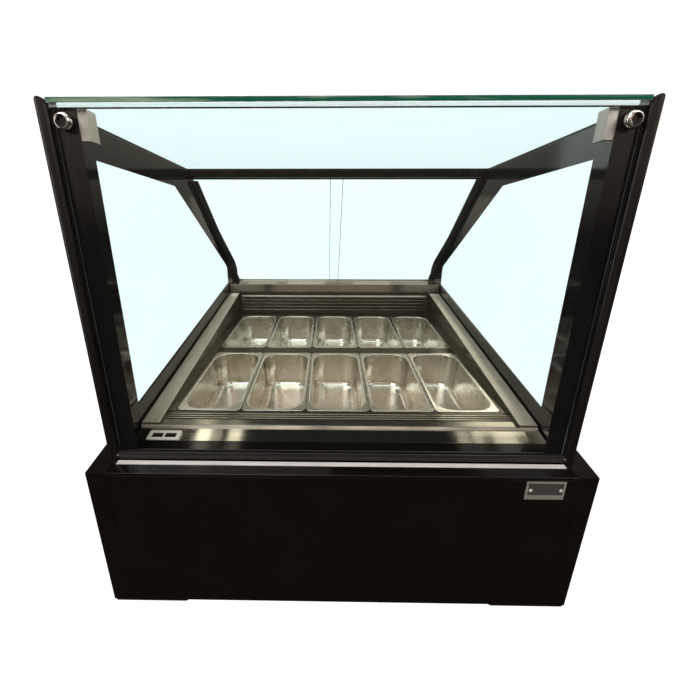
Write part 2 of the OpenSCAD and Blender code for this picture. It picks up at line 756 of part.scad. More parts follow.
base_floor();
feet();
side_panel_left();
side_panel_right();
front_panel();
rear_panel();
nameplate();
front_ledge();
tub_liner();
tub_insulation();
front_deck_strip();
thermometer();
side_strip_left();
side_strip_right();
rear_rail();
front_louvre();
rear_louvre();
pan_bars();
hinge_sill();
post_left();
post_right();
side_glass_left();
side_glass_right();
side_glass_print();
top_glass();
top_seal();
glass_brackets();
rear_top_rail();
door_bottom_track();
led_bar();
evaporator_coil();
fan_plate();
compressor();
condenser_coil();
condenser_cowl();
control_panel();
power_inlet();
refrigerant_pipes();
pan(0, 0);  // pan_front_1
pan(0, 1);  // pan_front_2
pan(0, 2);  // pan_front_3
pan(0, 3);  // pan_front_4
pan(0, 4);  // pan_front_5
pan(1, 0);  // pan_rear_1
pan(1, 1);  // pan_rear_2
pan(1, 2);  // pan_rear_3
pan(1, 3);  // pan_rear_4
pan(1, 4);  // pan_rear_5
front_glass();
front_glass_print();
front_glass_profile();
glass_bolts();
door_left();
door_right();
door_grip_left();
door_grip_right();
light_switch();
condenser_fan();
evaporator_fan_left();
evaporator_fan_right();
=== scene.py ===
"""Looks of the refrigerated scoop display case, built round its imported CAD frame.

Metres, +Z up, the customers' side faces -Y, +X is to the right seen from there.
"""

import json
import math

import bmesh
import bpy
from mathutils import Matrix, Vector

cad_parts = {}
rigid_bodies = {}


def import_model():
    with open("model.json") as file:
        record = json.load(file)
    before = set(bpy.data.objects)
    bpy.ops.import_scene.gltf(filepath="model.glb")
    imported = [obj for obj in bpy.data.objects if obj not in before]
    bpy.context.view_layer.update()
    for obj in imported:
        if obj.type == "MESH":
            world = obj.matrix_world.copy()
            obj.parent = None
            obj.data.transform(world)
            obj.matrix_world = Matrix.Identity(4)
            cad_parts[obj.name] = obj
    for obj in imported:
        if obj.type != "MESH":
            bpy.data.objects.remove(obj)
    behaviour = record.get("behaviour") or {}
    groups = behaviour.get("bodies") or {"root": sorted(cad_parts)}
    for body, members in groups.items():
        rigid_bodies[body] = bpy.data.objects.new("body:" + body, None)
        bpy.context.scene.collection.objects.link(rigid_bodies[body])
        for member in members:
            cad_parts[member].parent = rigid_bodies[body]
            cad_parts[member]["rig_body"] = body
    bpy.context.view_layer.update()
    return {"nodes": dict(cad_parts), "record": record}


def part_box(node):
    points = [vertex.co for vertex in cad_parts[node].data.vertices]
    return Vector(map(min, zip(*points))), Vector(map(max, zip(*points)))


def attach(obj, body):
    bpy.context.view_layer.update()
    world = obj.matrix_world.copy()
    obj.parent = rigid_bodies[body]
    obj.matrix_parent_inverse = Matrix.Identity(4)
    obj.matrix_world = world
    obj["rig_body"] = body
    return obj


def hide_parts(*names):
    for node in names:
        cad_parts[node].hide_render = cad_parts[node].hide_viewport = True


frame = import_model()

MM = 0.001
NODES = frame["nodes"]
SLOT_OF = {s["node"]: s["material_slot"] for s in frame["record"]["subparts"]}
BODY_OF = {n: o["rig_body"] for n, o in NODES.items()}


# ---- camera --------------------------------------------------------------------

EYE = (-0.025, -1.203, 0.830)
TURN = (-0.83, 17.53, 0.07)               # degrees to the right, down and over
SENSOR, LENS = 36, 18.03                  # millimetres
SHIFT_X, SHIFT_Y = 0.0379, -0.0047


def make_camera():
    """A customer's eye close to the front glass, a little below its top, looking down."""
    yaw, pitch, roll = (math.radians(a) for a in TURN)
    flat_right = Vector((math.cos(yaw), -math.sin(yaw), 0))
    ahead = Vector((math.sin(yaw), math.cos(yaw), 0))
    look = ahead * math.cos(pitch) - Vector((0, 0, 1)) * math.sin(pitch)
    up = Vector((0, 0, 1)) * math.cos(pitch) + ahead * math.sin(pitch)
    right = flat_right * math.cos(roll) + up * math.sin(roll)
    up = up * math.cos(roll) - flat_right * math.sin(roll)
    data = bpy.data.cameras.new("camera")
    data.sensor_width, data.lens = SENSOR, LENS
    data.shift_x, data.shift_y = SHIFT_X, SHIFT_Y
    cam = bpy.data.objects.new("camera", data)
    bpy.context.scene.collection.objects.link(cam)
    turn = Matrix((right, up, -look)).transposed()
    cam.matrix_world = Matrix.Translation(EYE) @ turn.to_4x4()
    bpy.context.scene.camera = cam


# ---- node trees ----------------------------------------------------------------


class Tree:
    """Builds one material's or world's nodes. A value is a number, a colour or a socket."""

    def __init__(self, owner):
        owner.use_nodes = True
        self.tree = owner.node_tree
        self.tree.nodes.clear()

    def add(self, kind, values=None, out=0, **settings):
        n = self.tree.nodes.new(kind)
        for key, value in settings.items():
            setattr(n, key, value)
        for key, value in (values or {}).items():
            if isinstance(value, bpy.types.NodeSocket):
                self.tree.links.new(value, n.inputs[key])
            elif isinstance(value, tuple) and n.inputs[key].type == "RGBA":
                n.inputs[key].default_value = (*value, 1)
            else:
                n.inputs[key].default_value = value
        return n.outputs[out]

    def place(self, scale=(1, 1, 1)):
        """Row-frame coordinates in metres, scaled."""
        coords = self.add("ShaderNodeTexCoord", out="Object")
        return self.add("ShaderNodeMapping", {"Vector": coords, "Scale": scale})

    def axis(self, vector, name):
        """One axis of a vector, by its letter."""
        parts = self.tree.nodes.new("ShaderNodeSeparateXYZ")
        self.tree.links.new(vector, parts.inputs[0])
        return parts.outputs[name]

    def noise(self, scale, detail=3.0, stretch=(1, 1, 1), **more):
        values = {"Vector": self.place(stretch), "Scale": scale, "Detail": detail}
        return self.add("ShaderNodeTexNoise", {**values, **more})

    def span(self, value, low, high, to_low, to_high):
        """The value's run from low to high, mapped to another run and held at its ends."""
        names = ("Value", "From Min", "From Max", "To Min", "To Max")
        return self.add(
            "ShaderNodeMapRange", dict(zip(names, (value, low, high, to_low, to_high)))
        )

    def blend(self, fac, a, b):
        """Colour a where fac is 0, b where it is 1."""
        n = {0: fac, 6: a, 7: b}
        return self.add("ShaderNodeMix", n, out=2, data_type="RGBA")

    def math(self, operation, a, b=0.0):
        return self.add("ShaderNodeMath", {0: a, 1: b}, operation=operation)

    def bump(self, height, strength, distance):
        """A normal that is tipped by a height, over a distance in metres."""
        values = {"Height": height, "Strength": strength, "Distance": distance}
        return self.add("ShaderNodeBump", values)

    def end(self, shader, kind="ShaderNodeOutputMaterial"):
        n = self.tree.nodes.new(kind)
        self.tree.links.new(shader, n.inputs["Surface"])


def shade(colour, factor):
    """The colour made darker or lighter by a factor."""
    return tuple(c * factor for c in colour)


def new_material(name):
    """An empty material and the tree to build it with."""
    mat = bpy.data.materials.new(name)
    return mat, Tree(mat)


def painted(name, colour, rough, level, peel=0.05, dust=0.25):
    """Black or dark painted metal: faint orange peel, uneven gloss, a little dust."""
    mat, t = new_material(name)
    cloud = t.noise(7.0, 5.0)
    fine = t.noise(620.0, 2.0)
    patchiness = t.span(cloud, 0.35, 0.75, 0.0, dust)
    t.end(
        t.add(
            "ShaderNodeBsdfPrincipled",
            {
                "Base Color": t.blend(patchiness, colour, shade(colour, 1.9)),
                "Roughness": t.span(cloud, 0.3, 0.7, rough * 0.82, rough * 1.2),
                "Specular IOR Level": level,
                "Normal": t.bump(fine, peel, 0.0004),
            },
        )
    )
    return mat


def brushed(name, colour, rough, grain, aniso=0.55, lines=0.04, cloudy=0.16, metal=1.0):
    """Ground steel or aluminium whose brush lines run along axis `grain`, 0 X, 1 Y, 2 Z."""
    mat, t = new_material(name)
    stretch = [900.0, 900.0, 900.0]
    stretch[grain] = 5.0
    streak = t.noise(1.0, 3.0, tuple(stretch))
    wide = [60.0, 60.0, 60.0]
    wide[grain] = 1.6
    band = t.noise(1.0, 2.0, tuple(wide))
    cloud = t.noise(6.0, 4.0)
    tone = t.math("MULTIPLY", t.span(cloud, 0.3, 0.7, 0.6, 1.0), band)
    across = [0.7, 0.7, 0.7]
    across[grain] = 0.0
    smear = t.math("ADD", t.math("MULTIPLY", streak, 0.7), t.math("MULTIPLY", cloud, 0.3))
    t.end(
        t.add(
            "ShaderNodeBsdfPrincipled",
            {
                "Base Color": t.blend(
                    t.span(tone, 0.2, 0.6, 0.0, 1.0),
                    shade(colour, 1.0 - cloudy),
                    shade(colour, 1.0 + cloudy * 0.5),
                ),
                "Metallic": metal,
                "Roughness": t.span(smear, 0.3, 0.7, rough * 0.8, rough * 1.2),
                "Anisotropic": aniso,
                "Tangent": t.add(
                    "ShaderNodeCombineXYZ", dict(zip("XYZ", across))
                ),
                "Normal": t.bump(streak, lines, 0.0002),
            },
        )
    )
    return mat


def pressed_steel(name, colour, rough):
    """Deep-drawn pan steel: satin, with faint vertical drawing marks and soft clouds."""
    mat, t = new_material(name)
    cloud = t.noise(14.0, 4.0)
    drawn = t.noise(1.0, 3.0, (260.0, 260.0, 7.0))
    scuff = t.noise(1.0, 4.0, (30.0, 240.0, 240.0), Distortion=0.6)
    marks = t.math("MULTIPLY", drawn, scuff)
    t.end(
        t.add(
            "ShaderNodeBsdfPrincipled",
            {
                "Base Color": t.blend(
                    t.span(cloud, 0.3, 0.7, 0.0, 1.0), shade(colour, 0.88), colour
                ),
                "Metallic": 1.0,
                "Roughness": t.span(cloud, 0.3, 0.7, rough * 0.75, rough * 1.25),
                "Normal": t.bump(marks, 0.08, 0.0004),
            },
        )
    )
    return mat


def plastic(name, colour, rough, grain=0.12, level=0.5):
    """Moulded plastic or rubber with a fine texture and slightly uneven colour."""
    mat, t = new_material(name)
    cloud = t.noise(22.0, 3.0)
    fine = t.noise(900.0, 2.0)
    t.end(
        t.add(
            "ShaderNodeBsdfPrincipled",
            {
                "Base Color": t.blend(
                    t.span(cloud, 0.3, 0.7, 0.0, 1.0), shade(colour, 0.88), colour
                ),
                "Roughness": t.span(fine, 0.3, 0.7, rough * 0.85, min(1.0, rough * 1.15)),
                "Specular IOR Level": level,
                "Normal": t.bump(fine, grain, 0.0003),
            },
        )
    )
    return mat


def clear_glass(name, tint, facing, glancing, lap=0.0):
    """Flat float glass: clear with a faint tint, mirrored more at glancing angles. Within
    `lap` metres of the middle the tint is left to the other pane."""
    mat, t = new_material(name)
    smear = t.noise(5.0, 4.0, Distortion=0.4)
    mirror = t.add(
        "ShaderNodeBsdfGlossy",
        {"Color": (1.0, 1.0, 1.0), "Roughness": t.span(smear, 0.4, 0.8, 0.0, 0.03)},
    )
    body = t.blend(t.span(smear, 0.45, 0.8, 0.0, 1.0), tint, shade(tint, 0.995))
    if lap:
        aside = t.span(t.math("ABSOLUTE", t.axis(t.place(), "X")), lap, lap + MM, 0.0, 1.0)
        body = t.blend(aside, (0.998, 1.0, 1.0), body)
    clear = t.add("ShaderNodeBsdfTransparent", {"Color": body})
    glance = t.add("ShaderNodeLayerWeight", {"Blend": 0.5}, out="Facing")
    share = t.span(t.math("POWER", glance, 5.0), 0.0, 1.0, facing, glancing)
    t.end(t.add("ShaderNodeMixShader", {0: share, 1: clear, 2: mirror}))
    return mat


def glass_edge(name, dark, light, axis, start=0.42):
    """Ground and polished edge of float glass, with painted highlights running along it here and
    there.
    """
    mat, t = new_material(name)
    stretch = [60.0, 60.0, 60.0]
    stretch[axis] = 4.0
    run = t.noise(1.0, 3.0, tuple(stretch))
    grind = t.noise(700.0, 2.0)
    t.end(
        t.add(
            "ShaderNodeBsdfPrincipled",
            {
                "Base Color": t.blend(t.span(run, start, start + 0.24, 0.0, 1.0), dark, light),
                "Roughness": t.span(grind, 0.3, 0.7, 0.06, 0.2),
                "Specular IOR Level": 0.3,
                "Normal": t.bump(run, 0.25, 0.002),
            },
        )
    )
    return mat


def milky(name, colour, clear):
    """Clear extruded seal: mostly see-through, with milky streaks along its length."""
    mat, t = new_material(name)
    streak = t.noise(1.0, 3.0, (8.0, 260.0, 260.0))
    body = t.add(
        "ShaderNodeBsdfPrincipled",
        {
            "Base Color": t.blend(streak, shade(colour, 0.9), colour),
            "Roughness": t.span(streak, 0.3, 0.7, 0.25, 0.4),
            "Normal": t.bump(streak, 0.2, 0.0005),
        },
    )
    through = t.add("ShaderNodeBsdfTransparent", {"Color": (1.0, 1.0, 1.0)})
    share = t.span(streak, 0.35, 0.7, clear, clear * 0.8)
    t.end(t.add("ShaderNodeMixShader", {0: share, 1: body, 2: through}))
    return mat


def enamel(name, colour, metal=0.08, patchiness=0.8):
    """Coated trim, or a pale painted highlight on lips, hems and the bead: satin, with handling
    marks along it; on the bead they are painted gaps in the highlight.
    """
    mat, t = new_material(name)
    rub = t.noise(1.0, 4.0, (12.0, 90.0, 90.0))
    t.end(
        t.add(
            "ShaderNodeBsdfPrincipled",
            {
                "Base Color": t.blend(t.span(rub, 0.35, 0.7, 0.0, 1.0), colour, shade(colour, patchiness)),
                "Metallic": metal,
                "Roughness": t.span(rub, 0.3, 0.7, 0.25, 0.45),
                "Normal": t.bump(rub, 0.1, 0.0005),
            },
        )
    )
    return mat


def lit_diffuser(name, colour):
    """Ribbed opal cover of the light strip."""
    mat, t = new_material(name)
    ribs = t.add(
        "ShaderNodeTexWave", {"Vector": t.place((1, 0, 0)), "Scale": 40.0, "Distortion": 0.3}
    )
    t.end(
        t.add(
            "ShaderNodeBsdfPrincipled",
            {
                "Base Color": t.blend(ribs, shade(colour, 0.85), colour),
                "Roughness": t.span(ribs, 0.0, 1.0, 0.3, 0.45),
                "Normal": t.bump(ribs, 0.3, 0.0005),
            },
        )
    )
    return mat


def galvanised(name, colour):
    """Zinc-coated sheet with a spangle pattern."""
    mat, t = new_material(name)
    cells = t.add("ShaderNodeTexVoronoi", {"Vector": t.place(), "Scale": 70.0}, out=1)
    grey = t.add("ShaderNodeRGBToBW", {"Color": cells})
    t.end(
        t.add(
            "ShaderNodeBsdfPrincipled",
            {
                "Base Color": t.blend(grey, shade(colour, 0.75), shade(colour, 1.15)),
                "Metallic": 0.9,
                "Roughness": t.span(grey, 0.0, 1.0, 0.38, 0.55),
                "Normal": t.bump(t.noise(300.0), 0.1, 0.0003),
            },
        )
    )
    return mat


def open_foam(name, colour):
    """Matte foam board with fine open cells."""
    mat, t = new_material(name)
    cells = t.add("ShaderNodeTexVoronoi", {"Vector": t.place(), "Scale": 420.0})
    t.end(
        t.add(
            "ShaderNodeBsdfPrincipled",
            {
                "Base Color": t.blend(t.noise(12.0), shade(colour, 0.8), colour),
                "Roughness": t.span(cells, 0.0, 1.0, 0.8, 0.95),
                "Normal": t.bump(cells, 0.5, 0.001),
            },
        )
    )
    return mat


DECK_SLOPE = math.radians(12)
FRONT_Y, FRONT_H = -0.595, 0.360          # face and height of the base's front panel
HALF_LAP = 0.022                          # the closed doors overlap this far each side of x = 0
WARM_STEEL = (0.62, 0.585, 0.525)
LOOKS = {
    "black_panel": painted("paint_black", (0.0072, 0.0050, 0.0042), 0.26, 0.13),
    "galvanised": galvanised("zinc_sheet", (0.45, 0.46, 0.47)),
    "rubber": plastic("rubber_black", (0.012, 0.012, 0.012), 0.7, 0.3, 0.3),
    "plate": enamel("plate_dark", (0.075, 0.072, 0.066)),
    # the plate's rim and rivets are lighter metal; their brightness is painted as pale, nearly
    # non-metallic colour in place of reflections
    "plate_rim": enamel("plate_rim", (0.30, 0.285, 0.26)),
    "rivet": enamel("rivet_bright", (0.85, 0.83, 0.82)),
    "steel": brushed("steel_along_x", WARM_STEEL, 0.17, 0, 0.8),
    "steel_strip": brushed("steel_strip", WARM_STEEL, 0.09, 0, 0.5, 0.02),
    # painted shade: a dimmer copy of the steel for the louvres' slats
    "steel_painted_shade_mid": brushed("steel_painted_shade_mid", (0.50, 0.47, 0.41), 0.20, 0, 0.6),
    # painted shade: a much darker copy of the steel for the walls hanging into the wells
    "steel_painted_shade_wall": brushed("steel_painted_shade_wall", (0.24, 0.22, 0.185), 0.30, 1, 0.3),
    # painted shade: a near-black copy of the steel for the pan bars and the faces behind the
    # louvre's slats
    "steel_painted_shade_dark": brushed("steel_shaded", (0.13, 0.115, 0.10), 0.3, 0, 0.3),
    # painted light: lighter than the other steel and partly diffuse, so the side strips' tops look
    # evenly lit
    "steel_y": brushed("steel_along_y", (0.72, 0.66, 0.56), 0.44, 1, 0.1, metal=0.6),
    "pan_steel": pressed_steel("pan_steel", (0.84, 0.80, 0.72), 0.27),
    "foam": open_foam("foam_board", (0.75, 0.68, 0.45)),
    "white_plastic": plastic("white_plastic", (0.94, 0.92, 0.86), 0.35, 0.08),
    "glass": clear_glass("glass_clear", (0.905, 0.998, 1.0), 0.004, 0.16),
    "front_pane": clear_glass("glass_front", (0.996, 0.997, 0.996), 0.012, 0.8),
    "door_pane": clear_glass("glass_door", (0.915, 0.998, 1.0), 0.004, 0.16),
    "lapped_pane": clear_glass("glass_lapped", (0.915, 0.998, 1.0), 0.004, 0.16, HALF_LAP),
    "black_print": painted("print_black", (0.010, 0.0098, 0.0105), 0.08, 0.9, 0.01, 0.3),
    "post": painted("post_black", (0.007, 0.0055, 0.005), 0.32, 0.5, 0.05),
    "ledge": painted("ledge_gloss", (0.005, 0.004, 0.0036), 0.09, 0.45, 0.02),
    "grip": plastic("grip_dark", (0.06, 0.054, 0.048), 0.3),
    # painted highlight: pale, nearly non-metallic colour on the pans' rolled lips and the strips'
    # hems
    "lip": enamel("lip_painted_highlight", (0.97, 0.93, 0.85), 0.3),
    # painted highlight: the deck strip's steel bead in pale, nearly non-metallic colour, its patches
    # painted gaps
    "bead": enamel("bead_painted_highlight", (1.0, 0.95, 0.85), 0.1, 0.4),
    "clear_seal": milky("seal_clear", (0.97, 1.0, 1.0), 0.9),
    "aluminium": brushed("aluminium", (0.80, 0.80, 0.79), 0.42, 2, 0.3, 0.08),
    "dark_profile": painted("profile_dark", (0.020, 0.019, 0.020), 0.42, 0.4, 0.1, 0.4),
    "sill_trim": enamel("sill_trim", (0.95, 0.905, 0.905)),
    "black_plastic": plastic("black_plastic", (0.018, 0.018, 0.018), 0.5),
    "light_diffuser": lit_diffuser("opal_cover", (0.9, 0.9, 0.88)),
    "black_steel": painted("black_steel", (0.014, 0.014, 0.014), 0.45, 0.4, 0.1),
    "copper": brushed("copper_tube", (0.72, 0.36, 0.22), 0.28, 1, 0.0, 0.05),
    "chrome": brushed("chrome", (0.88, 0.88, 0.89), 0.08, 0, 0.0, 0.02, 0.05),
    # dark lens of the windows and display; also painted shade in the bolts' sockets
    "dark_window_and_shade": plastic("dark_window_and_shade", (0.012, 0.008, 0.007), 0.12, 0.0, 0.6),
}
GREEN_EDGE = glass_edge("glass_edge_green", (0.0, 0.115, 0.065), (0.50, 0.62, 0.50), 0, 0.56)
# painted shade: ground glass edges painted near black
DARK_EDGE = glass_edge("glass_edge_dark", (0.006, 0.009, 0.009), (0.02, 0.03, 0.03), 2)
# painted highlight: a pale line on the panes' chamfered arrises
ARRIS = glass_edge("glass_arris", (0.18, 0.19, 0.19), (0.55, 0.58, 0.58), 2)
DOOR_EDGE = glass_edge("door_edge", (0.055, 0.06, 0.06), (0.12, 0.13, 0.13), 1)


# ---- pieces --------------------------------------------------------------------

SHARP_ANGLE = math.radians(40)            # edges sharper than this are rounded


def add_piece(name, bm, body, looks, smooth=True):
    """Makes an object of the mesh, with weighted normals, and puts it on its body."""
    mesh = bpy.data.meshes.new(name)
    bm.to_mesh(mesh)
    bm.free()
    for mat in looks:
        mesh.materials.append(mat)
    mesh.polygons.foreach_set("use_smooth", [smooth] * len(mesh.polygons))
    obj = bpy.data.objects.new(name, mesh)
    bpy.context.scene.collection.objects.link(obj)
    mesh.set_sharp_from_angle(angle=math.radians(50))
    weighted = obj.modifiers.new("weighted", "WEIGHTED_NORMAL")
    weighted.keep_sharp = True
    weighted.weight = 90
    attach(obj, body)
    return obj


def cad_mesh(node):
    """A copy of a CAD node's mesh, with its split corners and flat triangles merged."""
    bm = bmesh.new()
    bm.from_mesh(NODES[node].data)
    bmesh.ops.remove_doubles(bm, verts=bm.verts, dist=2e-6)
    bmesh.ops.dissolve_limit(
        bm, angle_limit=math.radians(0.4), verts=bm.verts, edges=bm.edges
    )
    return bm


def soften(bm, width, segments=2):
    """Rounds the mesh's sharp edges by a width in millimetres."""
    sharp = [e for e in bm.edges if e.is_manifold and e.calc_face_angle(0) > SHARP_ANGLE]
    bmesh.ops.bevel(
        bm,
        geom=sharp,
        offset=width * MM,
        offset_type="OFFSET",
        segments=segments,
        profile=0.5,
        affect="EDGES",
        clamp_overlap=True,
    )


def softened(node, width, looks=None, choose=None):
    """Stands for a CAD node with the same shape and rounded edges. `choose` gives the
    index of a face's look from the middle of the face."""
    bm = cad_mesh(node)
    soften(bm, width)
    if choose:
        for face in bm.faces:
            face.material_index = choose(face.calc_center_median())
    slot = SLOT_OF[node]
    obj = add_piece(f"{node}_body", bm, BODY_OF[node], looks or [LOOKS[slot]])
    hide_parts(node)
    return obj


def pane(node, axis, face_look, edge, front=None, arris=None, width=0.7):
    """Stands for a CAD pane: two clear faces, ground edges and a fine arris with a painted
    highlight. An edge facing the customers can have its own look."""
    bm = cad_mesh(node)
    soften(bm, width, 1)
    bm.normal_update()
    axis = Vector(axis).normalized()
    on_face, on_edge, on_arris, on_front = range(4)
    for face in bm.faces:
        along = abs(face.normal.dot(axis))
        if along > 0.95:
            face.material_index = on_face
        elif along > 0.3:
            face.material_index = on_arris
        elif front and face.normal.y < -0.8:
            face.material_index = on_front
        else:
            face.material_index = on_edge
    looks = [face_look, edge, arris or ARRIS, front or edge]
    obj = add_piece(f"{node}_pane", bm, BODY_OF[node], looks)
    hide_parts(node)
    return obj


# ---- pans ----------------------------------------------------------------------

PAN_SLOPE = math.radians(6)
PAN_Y0, PAN_Z0 = -0.390, 0.398            # front edge of the front row's rims
ROW_STEP = 0.408                          # from row to row, along the slope
PAN_HALF_W, PAN_HALF_L = 83.0, 181.0      # the rim's outer edge, millimetres
PAN_WALL, PAN_BOTTOM = 0.9, -119.8
PAINTED_HIGHLIGHT_RINGS = 6, 8                    # rings of pan_rings() between which the lip has a painted highlight
WALL_RING = 11                            # ring of pan_rings() where the wall starts


def rounded_outline(half_w, half_l, radius, steps=14):
    """Points round a rounded rectangle, the same number and order for every size."""
    points = []
    for cx, cy, start in ((1, 1, 0), (-1, 1, 90), (-1, -1, 180), (1, -1, 270)):
        for k in range(steps + 1):
            a = math.radians(start + 90 * k / steps)
            points.append(
                (
                    cx * (half_w - radius) + radius * math.cos(a),
                    cy * (half_l - radius) + radius * math.sin(a),
                )
            )
    return points


def pan_rings():
    """(half width, half length, corner radius, height) in millimetres, from the rim's
    outer edge over the flange, down the drawn wall to the floor, in the pan's own frame."""
    # inset, corner radius and height of the flange's rings
    flange = ((0, 14, 0.5), (0, 14, 1), (0.4, 13.7, 1.4), (1, 13.2, 1.5), (2.4, 12.2, 1.35),
              (3.4, 12, 1.1))
    inner = [(PAN_HALF_W - inset, PAN_HALF_L - inset, corner, z) for inset, corner, z in flange]
    bowl_w, bowl_l, bowl_r, lip = 73.2, 170.2, 45.2, 4.2
    for k in range(6):
        a = math.radians(90 * k / 5)
        out = lip * (1 - math.sin(a))
        inner.append(
            (bowl_w + out, bowl_l + out, bowl_r + out, 1.1 - lip * (1 - math.cos(a)))
        )
    taper, floor, fillet = 3.0, -118.8, 20.0
    for k in range(1, 5):
        z = -2.1 + (floor + fillet + 2.1) * k / 4
        inset = taper * k / 4
        inner.append((bowl_w - inset, bowl_l - inset, bowl_r - inset * 0.5, z))
    for k in range(1, 8):
        a = math.radians(90 * k / 7)
        inset = taper + fillet * (1 - math.cos(a))
        inner.append(
            (
                bowl_w - inset,
                bowl_l - inset,
                bowl_r - taper * 0.5 - fillet * (1 - math.cos(a)) * 0.8,
                floor + fillet * (1 - math.sin(a)),
            )
        )
    return inner


def under_rings(inner):
    """The rings of the pan's underside, from the flange's edge down to the bottom."""
    rings = [
        (w + PAN_WALL, l + PAN_WALL, r + PAN_WALL, max(z - PAN_WALL, PAN_BOTTOM))
        for w, l, r, z in inner[WALL_RING:]
    ]
    rings[0] = (*rings[0][:3], 0.05)
    return [(PAN_HALF_W - 1.2, PAN_HALF_L - 1.2, 13.2, 0.1), *rings]


def build_pan(row, index):
    """A deep-drawn pan: beaded flange, rolled bowl lip, tapered walls and a filleted floor."""
    name = f"pan_{row}_{index}"
    inner = pan_rings()
    bm = bmesh.new()
    loops = []
    for half_w, half_l, radius, z in [*reversed(inner), *under_rings(inner)]:
        loops.append(
            [
                bm.verts.new((x * MM, y * MM, z * MM))
                for x, y in rounded_outline(half_w, half_l, radius)
            ]
        )
    count = len(loops[0])
    first, last = PAINTED_HIGHLIGHT_RINGS
    for level, (a, b) in enumerate(zip(loops, loops[1:])):
        ring = len(inner) - 2 - level
        for k in range(count):
            j = (k + 1) % count
            face = bm.faces.new((a[k], b[k], b[j], a[j]))
            face.material_index = int(first <= ring < last)
    for loop, flip in ((loops[0], False), (loops[-1], True)):
        bm.faces.new(list(reversed(loop)) if flip else loop)
    bmesh.ops.recalc_face_normals(bm, faces=bm.faces)
    low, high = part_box(f"pan_{row}_{index}")
    x = (low.x + high.x) / 2
    step = 0 if row == "front" else ROW_STEP
    front_y = PAN_Y0 + step * math.cos(PAN_SLOPE)
    front_z = PAN_Z0 + step * math.sin(PAN_SLOPE)
    bm.transform(
        Matrix.Translation((x, front_y, front_z))
        @ Matrix.Rotation(PAN_SLOPE, 4, "X")
        @ Matrix.Translation((0, PAN_HALF_L * MM, 0))
    )
    # the lip's rings take the painted highlight
    looks = [LOOKS["pan_steel"], LOOKS["lip"]]
    piece = add_piece(f"{name}_drawn", bm, name, looks)
    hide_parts(name)


make_camera()

for row in ("front", "rear"):
    for index in range(1, 6):
        build_pan(row, index)


# ---- nodes with rounded edges ----------------------------------------------------

# millimetres
SOFT_EDGES = {
    "side_panel_left": 1.2,
    "side_panel_right": 1.2,
    "front_panel": 1.2,
    "rear_panel": 0.4,
    "thermometer": 0.8,
    "rear_rail": 0.5,
    "top_seal": 0.6,
    "glass_brackets": 0.8,
    "rear_top_rail": 0.8,
    "door_bottom_track": 0.5,
    "front_glass_profile": 0.8,
    "control_panel": 0.8,
    "power_inlet": 0.5,
    "light_switch": 0.8,
    "feet": 1.5,
    "led_bar": 0.8,
}
for node, width in SOFT_EDGES.items():
    softened(node, width)
STRIP_EDGE = 0.4385                       # inner edge of a side strip; its well wall hangs there
# side strips: tops in the lighter steel as painted light, well walls in the darker steel as painted
# shade
for node in ("side_strip_left", "side_strip_right"):
    softened(
        node,
        0.6,
        [LOOKS["steel_y"], LOOKS["steel_painted_shade_wall"]],
        lambda c: int(abs(c.x) < STRIP_EDGE + 0.0002),
    )
for node in ("post_left", "post_right"):
    softened(node, 0.5, [LOOKS["post"]])
for node in ("door_grip_left", "door_grip_right"):
    softened(node, 0.4, [LOOKS["grip"]])
# the pan bars in the near-black steel as painted shade
softened("pan_bars", 0.5, [LOOKS["steel_painted_shade_dark"]])
# the front louvre in the dimmer steel as painted shade
softened("front_louvre", 0.4, [LOOKS["steel_painted_shade_mid"]])
BEAD_Y = -0.4532                          # the deck strip's upright bead stands behind this
# the bead's faces take the painted highlight
softened(
    "front_deck_strip",
    0.5,
    [LOOKS["steel_strip"], LOOKS["bead"]],
    lambda c: int(c.y > BEAD_Y),
)
LOUVRE_FACE = 0.4149                      # the slats stand in front of this plane
# slats in the dimmer steel, faces behind them in the near-black steel: both painted shade
softened(
    "rear_louvre",
    0.35,
    [LOOKS["steel_painted_shade_mid"], LOOKS["steel_painted_shade_dark"]],
    lambda c: int(c.y > LOUVRE_FACE),
)
softened("front_ledge", 1.2, [LOOKS["ledge"]])

BOLT_X, BOLT_Z = 0.456, 1.006
SOCKET_R, SOCKET_Y = 0.0075, -0.5605      # a bolt's socket, painted dark as shade: its radius and its floor
# the sockets' faces take the dark lens look as painted shade
softened(
    "glass_bolts",
    0.4,
    [LOOKS["chrome"], LOOKS["dark_window_and_shade"]],
    lambda c: int(math.hypot(abs(c.x) - BOLT_X, c.z - BOLT_Z) < SOCKET_R and c.y < SOCKET_Y),
)

SILL_TOP, SILL_BACK = 0.374, -0.560       # the trim lies below and in front; the pins don't
softened(
    "hinge_sill",
    0.3,
    [LOOKS["steel"], LOOKS["sill_trim"]],
    lambda c: int(c.z < SILL_TOP and c.y < SILL_BACK),
)


RIVET_Y, RIM_Y = -0.5972, -0.5965         # fronts of the plate's rivets and of its rim
RECESS_X, RECESS_Z = (0.3885, 0.4595), (0.3185, 0.3465)


def plate_look(c):
    """2 on the rivets, 1 on the rim and the broad lower band, 0 in the recess."""
    if c.y < RIVET_Y:
        return 2
    recessed = RECESS_X[0] < c.x < RECESS_X[1] and RECESS_Z[0] < c.z < RECESS_Z[1]
    return int(c.y < RIM_Y or not recessed)


softened("nameplate", 0.3, [LOOKS["plate"], LOOKS["plate_rim"], LOOKS["rivet"]], plate_look)

